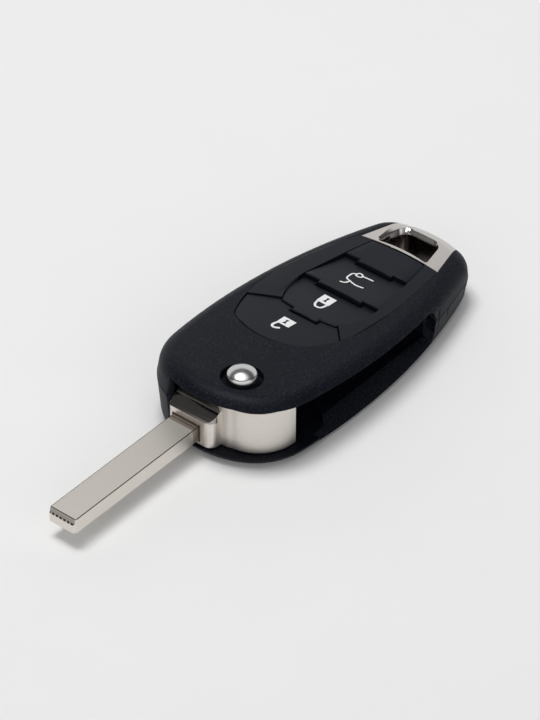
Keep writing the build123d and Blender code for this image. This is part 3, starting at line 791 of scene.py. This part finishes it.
@dataclass
class Assembly:
    """A group of the frame's nodes, with the two ways of dressing them."""

    nodes: dict[str, bpy.types.Object]
    slots: dict[str, str]
    # A node's loose triangles join at points this close, a new shape's own points at closer ones
    merge_mm: float = 0.002
    weld_mm: float = 0.0005
    # Facets that turn less than this are one flat face, and an edge over the other is sharp
    flat_deg: float = 0.4
    sharp_deg: float = 32.0
    spin_steps: int = 96
    pivot_x_mm: float = -30.4
    pivot_y_mm: float = -4.4

    def dress_node(self, name: str, finish: Finish) -> None:
        """Give a carried-over node its finish.

        Args:
            name: The node to dress.
            finish: The finish it gets.
        """
        mesh = self.nodes[name].data
        mesh.materials.clear()
        mesh.materials.append(finish.material())
        log.info("dressed %s with %s", name, finish.name)

    def cut_away(self, mesh: bpy.types.Mesh, cutter: bmesh.types.BMesh) -> bpy.types.Mesh:
        """Take a closed shape away from a mesh.

        Args:
            mesh: The mesh that is cut.
            cutter: The shape that is taken away, which is used up.

        Returns:
            The cut mesh under the same name.
        """
        tool_mesh = bpy.data.meshes.new("cutter")
        cutter.to_mesh(tool_mesh)
        cutter.free()
        tool = bpy.data.objects.new("cutter", tool_mesh)
        blank = bpy.data.objects.new("blank", mesh)
        for part in (tool, blank):
            bpy.context.collection.objects.link(part)
        cut = blank.modifiers.new("cut", "BOOLEAN")
        cut.operation = "DIFFERENCE"
        cut.solver = "EXACT"
        cut.object = tool
        bpy.context.view_layer.update()
        ready = blank.evaluated_get(bpy.context.evaluated_depsgraph_get())
        name = mesh.name
        made = bpy.data.meshes.new_from_object(ready)
        for part in (tool, blank):
            bpy.data.objects.remove(part)
        bpy.data.meshes.remove(tool_mesh)
        bpy.data.meshes.remove(mesh)
        made.name = name
        made.materials.clear()
        return made

    def join_flats(self, mesh: bpy.types.Mesh) -> None:
        """Join the triangles of each flat face, so that it shades evenly up to its rounded edges.

        Args:
            mesh: The mesh that is tidied.
        """
        shape = bmesh.new()
        shape.from_mesh(mesh)
        bmesh.ops.dissolve_limit(
            shape, angle_limit=math.radians(self.flat_deg), verts=shape.verts, edges=shape.edges
        )
        shape.to_mesh(mesh)
        shape.free()

    def spun(self, profile: tuple[Point, ...]) -> bmesh.types.BMesh:
        """Spin a profile of radius and height, both in millimetres, into a closed shape.

        Args:
            profile: Points from the axis round to the axis.

        Returns:
            The closed shape in millimetres round the upright axis.
        """
        shape = bmesh.new()
        verts = [
            bmesh.ops.create_vert(shape, co=(out, 0.0, height))["vert"][0]
            for out, height in profile
        ]
        edges = [shape.edges.new(pair) for pair in zip(verts, verts[1:])]
        bmesh.ops.spin(
            shape,
            geom=verts + edges,
            cent=(0.0, 0.0, 0.0),
            axis=(0.0, 0.0, 1.0),
            angle=2 * math.pi,
            steps=self.spin_steps,
            use_merge=True,
        )
        bmesh.ops.remove_doubles(shape, verts=shape.verts, dist=self.weld_mm)
        bmesh.ops.recalc_face_normals(shape, faces=shape.faces)
        return shape

    def smooth_copy(
        self, name: str, finish: Finish, cutter: bmesh.types.BMesh | None = None
    ) -> None:
        """Show a merged, smooth-shaded copy of a node in the node's own form.

        Args:
            name: The node to copy.
            finish: The finish of the copy.
            cutter: A shape that is taken away from the copy, if any.
        """
        source = self.nodes[name]
        shape = bmesh.new()
        shape.from_mesh(source.data)
        bmesh.ops.remove_doubles(shape, verts=shape.verts, dist=self.merge_mm * MM)
        mesh = bpy.data.meshes.new(name + "_skin")
        shape.to_mesh(mesh)
        shape.free()
        if cutter is not None:
            mesh = self.cut_away(mesh, cutter)
        self.join_flats(mesh)
        mesh.shade_smooth()
        mesh.set_sharp_from_angle(angle=math.radians(self.sharp_deg))
        mesh.materials.append(finish.material())
        piece = bpy.data.objects.new(name + "_skin", mesh)
        bpy.context.collection.objects.link(piece)
        smooth = piece.modifiers.new("weighted_normals", "WEIGHTED_NORMAL")
        smooth.mode = "FACE_AREA"
        smooth.keep_sharp = True
        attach(piece, source["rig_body"])
        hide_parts(name)
        log.info("made %s with %s", piece.name, finish.name)


@dataclass
class Case(Assembly):
    """The two covers, the parts inside them and the key ring loop."""

    # The case's top falls by this slope towards the loop
    top_at_pivot_mm: float = 16.59
    top_slope: float = 0.072
    recess_radius_mm: float = 4.5
    recess_depth_mm: float = 1.6
    rim_round_mm: float = 0.3
    # Height to which the recess is cut free above the case
    clear_mm: float = 6.0

    def build(self) -> None:
        """Dress the covers, the inner parts and the loop."""
        self.smooth_copy("lower_cover", CASE_ABS)
        self.smooth_copy("upper_cover", CASE_ABS, self.recess_tool())
        self.smooth_copy("key_ring_loop", RING_NICKEL)
        for name in ("board_tray", "spring_cup"):
            self.dress_node(name, INNER_ABS)
        self.dress_node("keypad_membrane", MAT_RUBBER)
        self.dress_node("flip_spring", BARE_STEEL)

    def recess_tool(self) -> bmesh.types.BMesh:
        """Spin the round recess with its softened rim that the release button stands in.

        Returns:
            The closed shape of the recess, square to the sloping top of the case.
        """
        wall = self.recess_radius_mm
        rim = self.rim_round_mm
        rim_middle = rim * (1 - math.cos(math.radians(45)))
        profile = (
            (0.0, -self.recess_depth_mm),
            (wall, -self.recess_depth_mm),
            (wall, -rim),
            (wall + rim_middle, -rim_middle),
            (wall + rim, 0.0),
            (wall + rim, self.clear_mm),
            (0.0, self.clear_mm),
        )
        shape = self.spun(profile)
        place = Matrix.Translation((self.pivot_x_mm, self.pivot_y_mm, self.top_at_pivot_mm))
        tilt = Matrix.Rotation(math.atan(self.top_slope), 4, "Y")
        bmesh.ops.transform(shape, matrix=Matrix.Scale(MM, 4) @ place @ tilt, verts=shape.verts)
        return shape


@dataclass(frozen=True)
class Mark:
    """One printed mark: filled panels with holes, and open and closed lines, in millimetres."""

    name: str
    key: str
    panels: tuple[tuple[Point, ...], ...] = ()
    holes: tuple[tuple[Point, ...], ...] = ()
    lines: tuple[tuple[Point, ...], ...] = ()
    loops: tuple[tuple[Point, ...], ...] = ()
    line_width_mm: float = 0.55


UNLOCK_MARK = Mark(
    "unlock_mark",
    "unlock_button",
    panels=(((-7.7, -0.3), (-7.6, 3.1), (-10.25, 3.05), (-10.35, -0.2)),),
    holes=(((-8.2, 1.95), (-8.15, 1.15), (-8.85, 1.4), (-9.7, 1.1), (-9.75, 2.05), (-8.9, 1.72)),),
    lines=(((-10.2, 2.75), (-11.2, 3.1), (-12.1, 2.85), (-12.4, 1.95), (-11.6, 0.98)),),
    line_width_mm=0.62,
)
LOCK_MARK = Mark(
    "lock_mark",
    "lock_button",
    panels=(((5.0, -0.95), (5.05, 2.4), (1.95, 2.2), (1.85, -1.1)),),
    holes=(((4.4, 1.05), (4.35, 0.3), (3.45, 0.5), (2.6, 0.2), (2.6, 1.1), (3.45, 0.85)),),
    lines=(((1.9, 1.8), (0.7, 1.65), (-0.15, 0.9), (-0.15, -0.1), (0.5, -0.65), (1.9, -0.7)),),
    line_width_mm=0.55,
)
BOOT_MARK = Mark(
    "boot_mark",
    "boot_button",
    lines=(
        ((10.6, 2.8), (10.75, 1.85), (11.3, 1.45), (12.28, 1.35)),
        ((12.28, 1.35), (12.5, 2.3), (12.95, 2.75), (14.2, 2.9), (15.2, 2.95), (15.55, 2.2)),
        ((15.78, 0.43), (15.82, -0.9), (15.93, -2.16)),
        ((12.28, 1.35), (11.8, 0.09), (11.73, -1.02), (12.08, -2.48)),
    ),
    loops=(
        (
            (14.9, 1.3),
            (15.0, 1.95),
            (15.65, 2.15),
            (16.3, 1.9),
            (16.35, 1.2),
            (15.7, 0.5),
            (15.05, 0.6),
        ),
    ),
    line_width_mm=0.42,
)


@dataclass
class Keypad(Assembly):
    """The bezel, the keys and their printed marks."""

    marks: tuple[Mark, ...] = (UNLOCK_MARK, LOCK_MARK, BOOT_MARK)
    ink_mm: float = 0.03
    lift_mm: float = 0.01
    # Height from which the tops of the keys are felt for
    probe_mm: float = 40.0
    # How finely a line's section and its bends are drawn
    line_facets: int = 3
    line_steps: int = 8
    line_order: int = 3

    def build(self) -> None:
        """Dress the keys and the bezel and print the marks."""
        for name in ("button_bezel", "unlock_button", "lock_button", "boot_button", "blank_cap"):
            self.smooth_copy(name, KEY_ABS)
        for mark in self.marks:
            self.print_mark(mark)

    def curve_mesh(
        self, name: str, splines: tuple[tuple[Point, ...], ...], shape_up: CurveShaper
    ) -> bpy.types.Mesh:
        """Turn lines of points into one mesh.

        Args:
            name: Name of the curve while it is made.
            splines: Points of each line in millimetres.
            shape_up: Sets the curve's form and each spline's kind.

        Returns:
            The mesh in millimetres.
        """
        curve = bpy.data.curves.new(name, "CURVE")
        for points in splines:
            spline = curve.splines.new("NURBS")
            spline.points.add(len(points) - 1)
            for place, (x, y) in zip(spline.points, points):
                place.co = (x, y, 0.0, 1.0)
            shape_up(curve, spline)
        holder = bpy.data.objects.new(name, curve)
        mesh = bpy.data.meshes.new_from_object(holder)
        bpy.data.objects.remove(holder)
        bpy.data.curves.remove(curve)
        return mesh

    def print_mark(self, mark: Mark) -> None:
        """Print one mark on its key as a thin closed layer of ink.

        Args:
            mark: The mark to print.
        """

        def as_panel(curve: bpy.types.Curve, spline: bpy.types.Spline) -> None:
            """Fill a straight-edged loop and give it the ink's thickness.

            Args:
                curve: The curve that holds the loop.
                spline: The loop.
            """
            curve.dimensions = "2D"
            curve.fill_mode = "BOTH"
            curve.extrude = self.ink_mm / 2
            spline.type = "POLY"
            spline.use_cyclic_u = True

        def as_line(curve: bpy.types.Curve, spline: bpy.types.Spline) -> None:
            """Draw a rounded line of even width.

            Args:
                curve: The curve that holds the line.
                spline: The line.
            """
            curve.dimensions = "3D"
            curve.bevel_depth = mark.line_width_mm / 2
            curve.bevel_resolution = self.line_facets
            curve.use_fill_caps = True
            spline.resolution_u = self.line_steps
            spline.order_u = self.line_order
            spline.use_endpoint_u = True

        def as_loop(curve: bpy.types.Curve, spline: bpy.types.Spline) -> None:
            """Draw a closed rounded line."""
            as_line(curve, spline)
            spline.use_cyclic_u = True

        shape = bmesh.new()
        for splines, shape_up in (
            (mark.panels + mark.holes, as_panel),
            (mark.lines, as_line),
            (mark.loops, as_loop),
        ):
            if splines:
                mesh = self.curve_mesh(mark.name, splines, shape_up)
                flatten = 1.0 if shape_up is as_panel else self.ink_mm / mark.line_width_mm
                mesh.transform(Matrix.Diagonal((1.0, 1.0, flatten, 1.0)))
                shape.from_mesh(mesh)
                bpy.data.meshes.remove(mesh)
        bmesh.ops.remove_doubles(shape, verts=shape.verts, dist=self.weld_mm)
        self.lay_on(shape, self.nodes[mark.key])
        bmesh.ops.recalc_face_normals(shape, faces=shape.faces)
        made = bpy.data.meshes.new(mark.name)
        shape.to_mesh(made)
        shape.free()
        made.materials.append(WHITE_INK.material())
        piece = bpy.data.objects.new(mark.name, made)
        bpy.context.collection.objects.link(piece)
        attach(piece, self.nodes[mark.key]["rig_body"])
        log.info("printed %s on %s", mark.name, mark.key)

    def lay_on(self, shape: bmesh.types.BMesh, key: bpy.types.Object) -> None:
        """Move a flat mark in millimetres onto a key's top.

        Args:
            shape: The mark, changed to metres.
            key: The key it lies on.
        """
        carrier = bmesh.new()
        carrier.from_mesh(key.data)
        surface = BVHTree.FromBMesh(carrier)
        for vert in shape.verts:
            start = Vector((vert.co.x, vert.co.y, self.probe_mm)) * MM
            hit = surface.ray_cast(start, Vector((0.0, 0.0, -1.0)))[0]
            lift = (vert.co.z + self.ink_mm / 2 + self.lift_mm) * MM
            vert.co = Vector((start.x, start.y, hit.z + lift))
        carrier.free()


@dataclass
class BladeUnit(Assembly):
    """The holder with its blade and the release button."""

    # Ends of the arch's section along the fob and in height, and how far it bends between them
    arch_front_mm: tuple[float, float] = (-39.72, 8.93)
    arch_back_mm: tuple[float, float] = (-36.78, 11.31)
    arch_turn_deg: float = 24.0
    arch_sides_mm: tuple[float, float] = (-4.25, 8.2)
    arch_steps: int = 10
    # The button's dome, and the radius and height of points down its skirt
    button_top_mm: float = 18.6
    dome_radius_mm: float = 5.4
    dome_edge_mm: float = 2.95
    dome_steps: int = 12
    skirt_mm: tuple[Point, ...] = ((3.05, 17.6), (3.13, 17.42), (3.22, 17.2), (3.47, 16.6))
    # How far the cut shapes stand clear of the metal that they take away
    clear_mm: float = 1.2

    def build(self) -> None:
        """Dress the metal pieces."""
        self.smooth_copy("blade_holder", HOLDER_NICKEL, self.arch_tool())
        self.smooth_copy("key_blade", BLADE_NICKEL)
        self.smooth_copy("release_button", POLISHED_CHROME, self.dome_tool())
        for name in ("blade_roll_pin", "lock_cog"):
            self.dress_node(name, BARE_STEEL)

    def arch_tool(self) -> bmesh.types.BMesh:
        """Make the shape that grinds the holder's arch to a flatter curve with a crisp front edge.

        Returns:
            The closed shape in metres.
        """
        front, back = Vector(self.arch_front_mm), Vector(self.arch_back_mm)
        half = math.radians(self.arch_turn_deg) / 2
        chord = back - front
        radius = chord.length / (2 * math.sin(half))
        out = Vector((-chord.y, chord.x)).normalized()
        along = chord.normalized()
        centre = (front + back) / 2 - out * radius * math.cos(half)
        section = []
        for step in range(self.arch_steps + 1):
            turn = half - 2 * half * step / self.arch_steps
            section.append(centre + radius * (out * math.cos(turn) - along * math.sin(turn)))
        section.append(Vector((back.x, back.y + self.clear_mm)))
        section.append(Vector((front.x - self.clear_mm, back.y + self.clear_mm)))
        section.append(Vector((front.x - self.clear_mm, front.y)))
        shape = bmesh.new()
        low, high = self.arch_sides_mm
        verts = [
            bmesh.ops.create_vert(shape, co=(point.x, low, point.y))["vert"][0]
            for point in section
        ]
        face = shape.faces.new(verts)
        moved = bmesh.ops.extrude_face_region(shape, geom=[face])["geom"]
        far_side = [part for part in moved if isinstance(part, bmesh.types.BMVert)]
        bmesh.ops.translate(shape, vec=(0.0, high - low, 0.0), verts=far_side)
        bmesh.ops.recalc_face_normals(shape, faces=shape.faces)
        bmesh.ops.scale(shape, vec=(MM, MM, MM), verts=shape.verts)
        return shape

    def dome_tool(self) -> bmesh.types.BMesh:
        """Spin the shape that turns the button's top to a full dome with a sloping skirt.

        Returns:
            The closed shape in metres.
        """
        crown = []
        for step in range(self.dome_steps + 1):
            out = self.dome_edge_mm * step / self.dome_steps
            drop = self.dome_radius_mm - math.sqrt(self.dome_radius_mm**2 - out**2)
            crown.append((out, self.button_top_mm - drop))
        outer = self.skirt_mm[-1][0] + self.clear_mm
        top = self.button_top_mm + self.clear_mm
        rim = ((outer, self.skirt_mm[-1][1]), (outer, top), (0.0, top))
        shape = self.spun((*crown, *self.skirt_mm, *rim))
        place = Matrix.Translation((self.pivot_x_mm, self.pivot_y_mm, 0.0))
        bmesh.ops.transform(shape, matrix=Matrix.Scale(MM, 4) @ place, verts=shape.verts)
        return shape


def main() -> None:
    """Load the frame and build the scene."""
    logging.basicConfig(level=logging.INFO, format="%(name)s: %(message)s")
    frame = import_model()
    bpy.context.scene.view_settings.view_transform = "Standard"
    Studio().build()
    nodes = frame["nodes"]
    slots = {part["node"]: part["material_slot"] for part in frame["record"]["subparts"]}
    for assembly in (Case(nodes, slots), Keypad(nodes, slots), BladeUnit(nodes, slots)):
        assembly.build()


if __name__ == "__main__":
    main()
